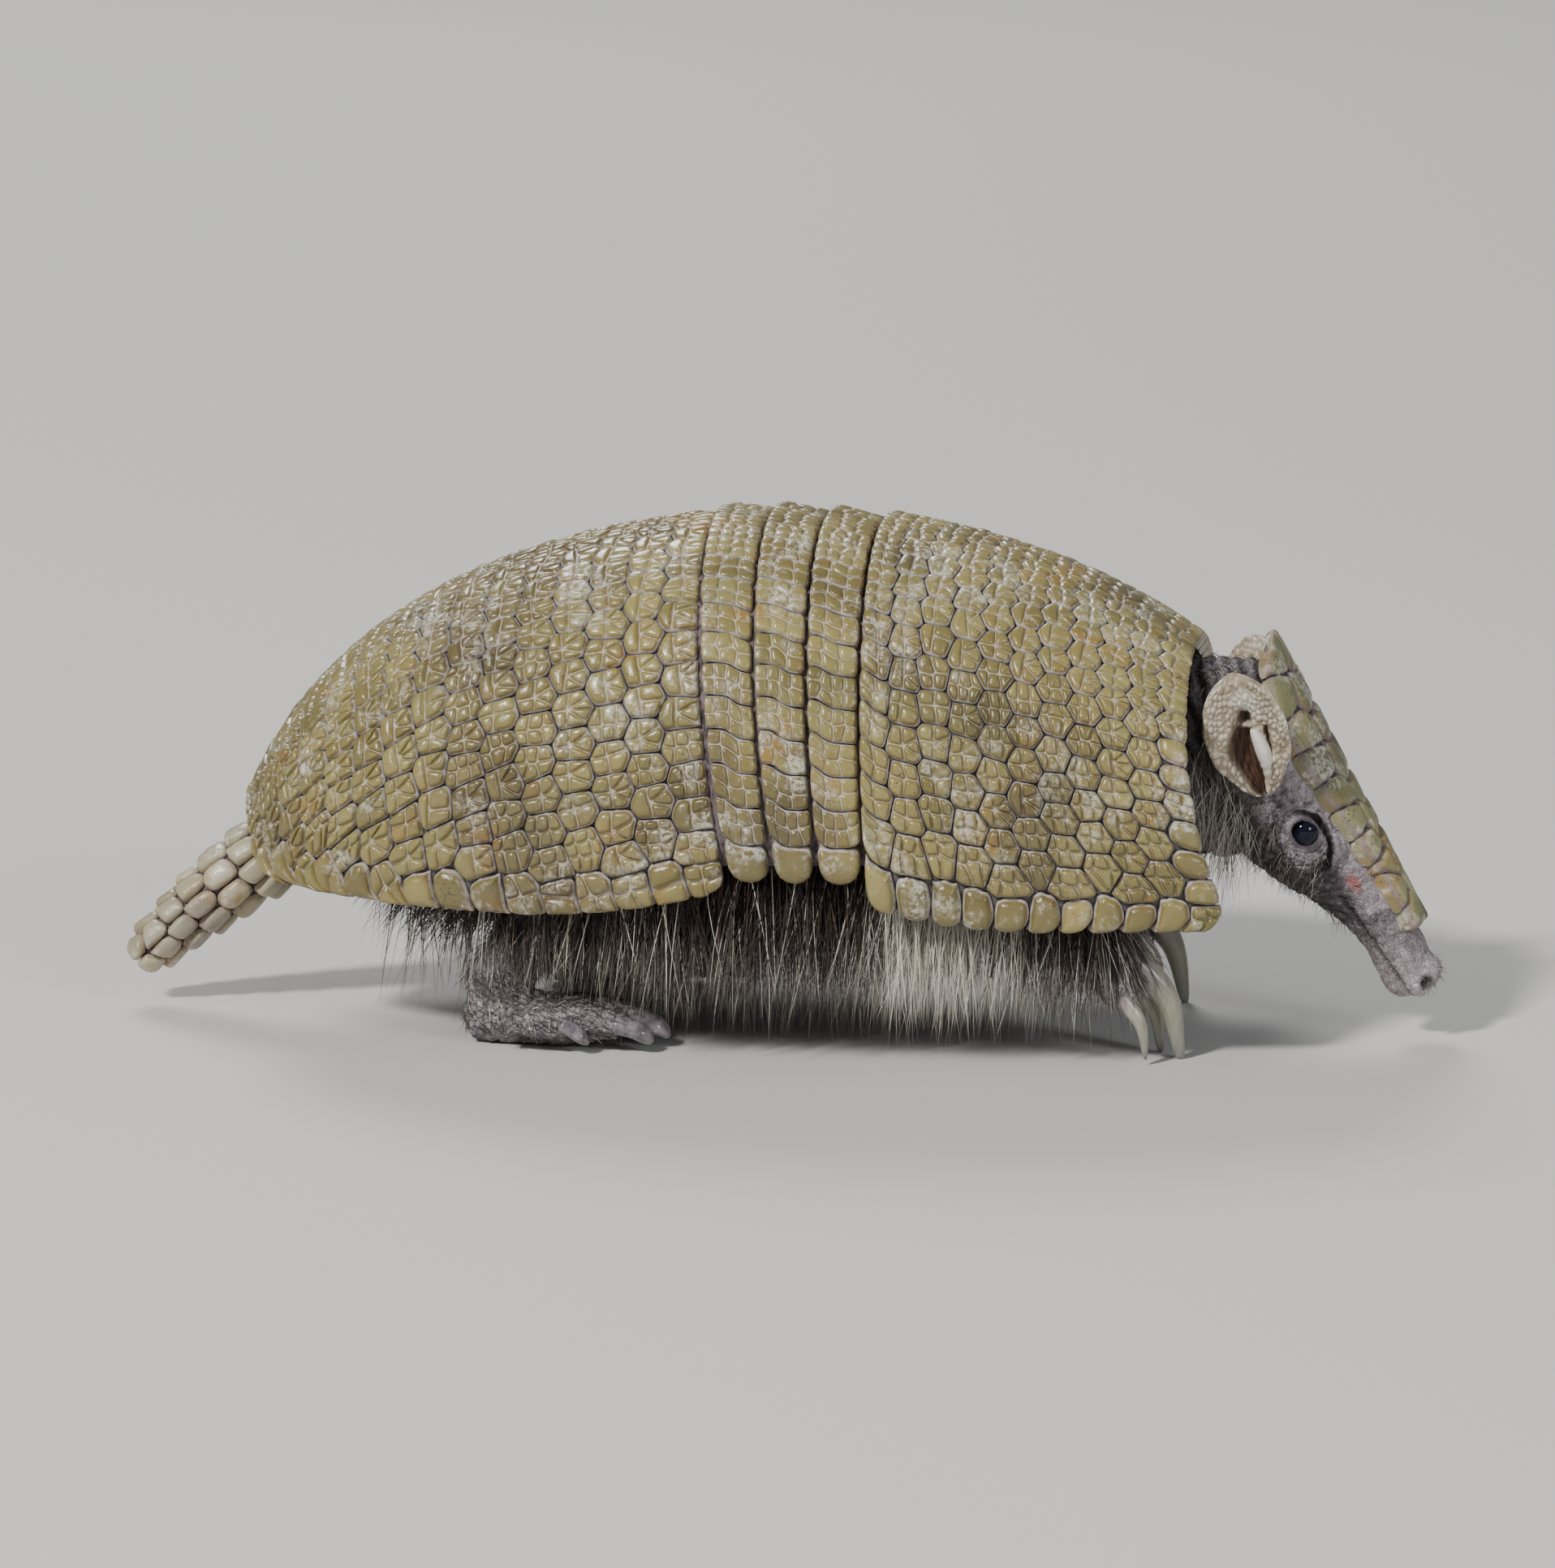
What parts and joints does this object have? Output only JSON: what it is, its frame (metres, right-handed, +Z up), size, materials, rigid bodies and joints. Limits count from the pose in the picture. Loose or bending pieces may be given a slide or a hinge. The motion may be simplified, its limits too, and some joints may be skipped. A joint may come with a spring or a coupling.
{
  "type": "three-banded armadillo",
  "caption": "Life-size still model of an adult three-banded armadillo standing on its feet, with a domed shell, a plated head and tail, big claws and a hair fringe.",
  "frame": {"origin": "on the floor under the middle of the animal's bounding box", "axes": "+X towards the head, +Y to the animal's left, +Z up"},
  "size_m": [0.2766, 0.107, 0.1085],
  "materials": {
    "shell": "waxy olive-tan horn over bone, in small domed plates",
    "head_shell": "olive horn plates with dark speckled edges",
    "tail_shell": "pale cream-grey smooth knobby plates",
    "coat": "coarse sparse hair, dark brown to cream",
    "skin": "wrinkled grey-mauve skin",
    "ear": "pebbly cream-tan skin",
    "horn": "satin grey-olive horn",
    "eye": "wet black"
  },
  "bodies": {
    "root": {"front_shield": "shell", "band_1": "shell", "band_2": "shell", "band_3": "shell", "rear_shield": "shell", "head_shield": "head_shell", "tail": "tail_shell", "trunk": "coat", "neck": "coat", "head": "skin", "fore_leg_right": "skin", "fore_leg_left": "skin", "hind_leg_right": "skin", "hind_leg_left": "skin", "ear_right": "ear", "ear_left": "ear", "eye_right": "eye", "eye_left": "eye", "fore_claw_right_1": "horn", "fore_claw_right_2": "horn", "fore_claw_right_3": "horn", "fore_claw_right_4": "horn", "hind_nail_right_1": "horn", "hind_nail_right_2": "horn", "hind_nail_right_3": "horn", "hind_nail_right_4": "horn", "hind_nail_right_5": "horn", "fore_claw_left_1": "horn", "fore_claw_left_2": "horn", "fore_claw_left_3": "horn", "fore_claw_left_4": "horn", "hind_nail_left_1": "horn", "hind_nail_left_2": "horn", "hind_nail_left_3": "horn", "hind_nail_left_4": "horn", "hind_nail_left_5": "horn"}
  },
  "joints": []
}
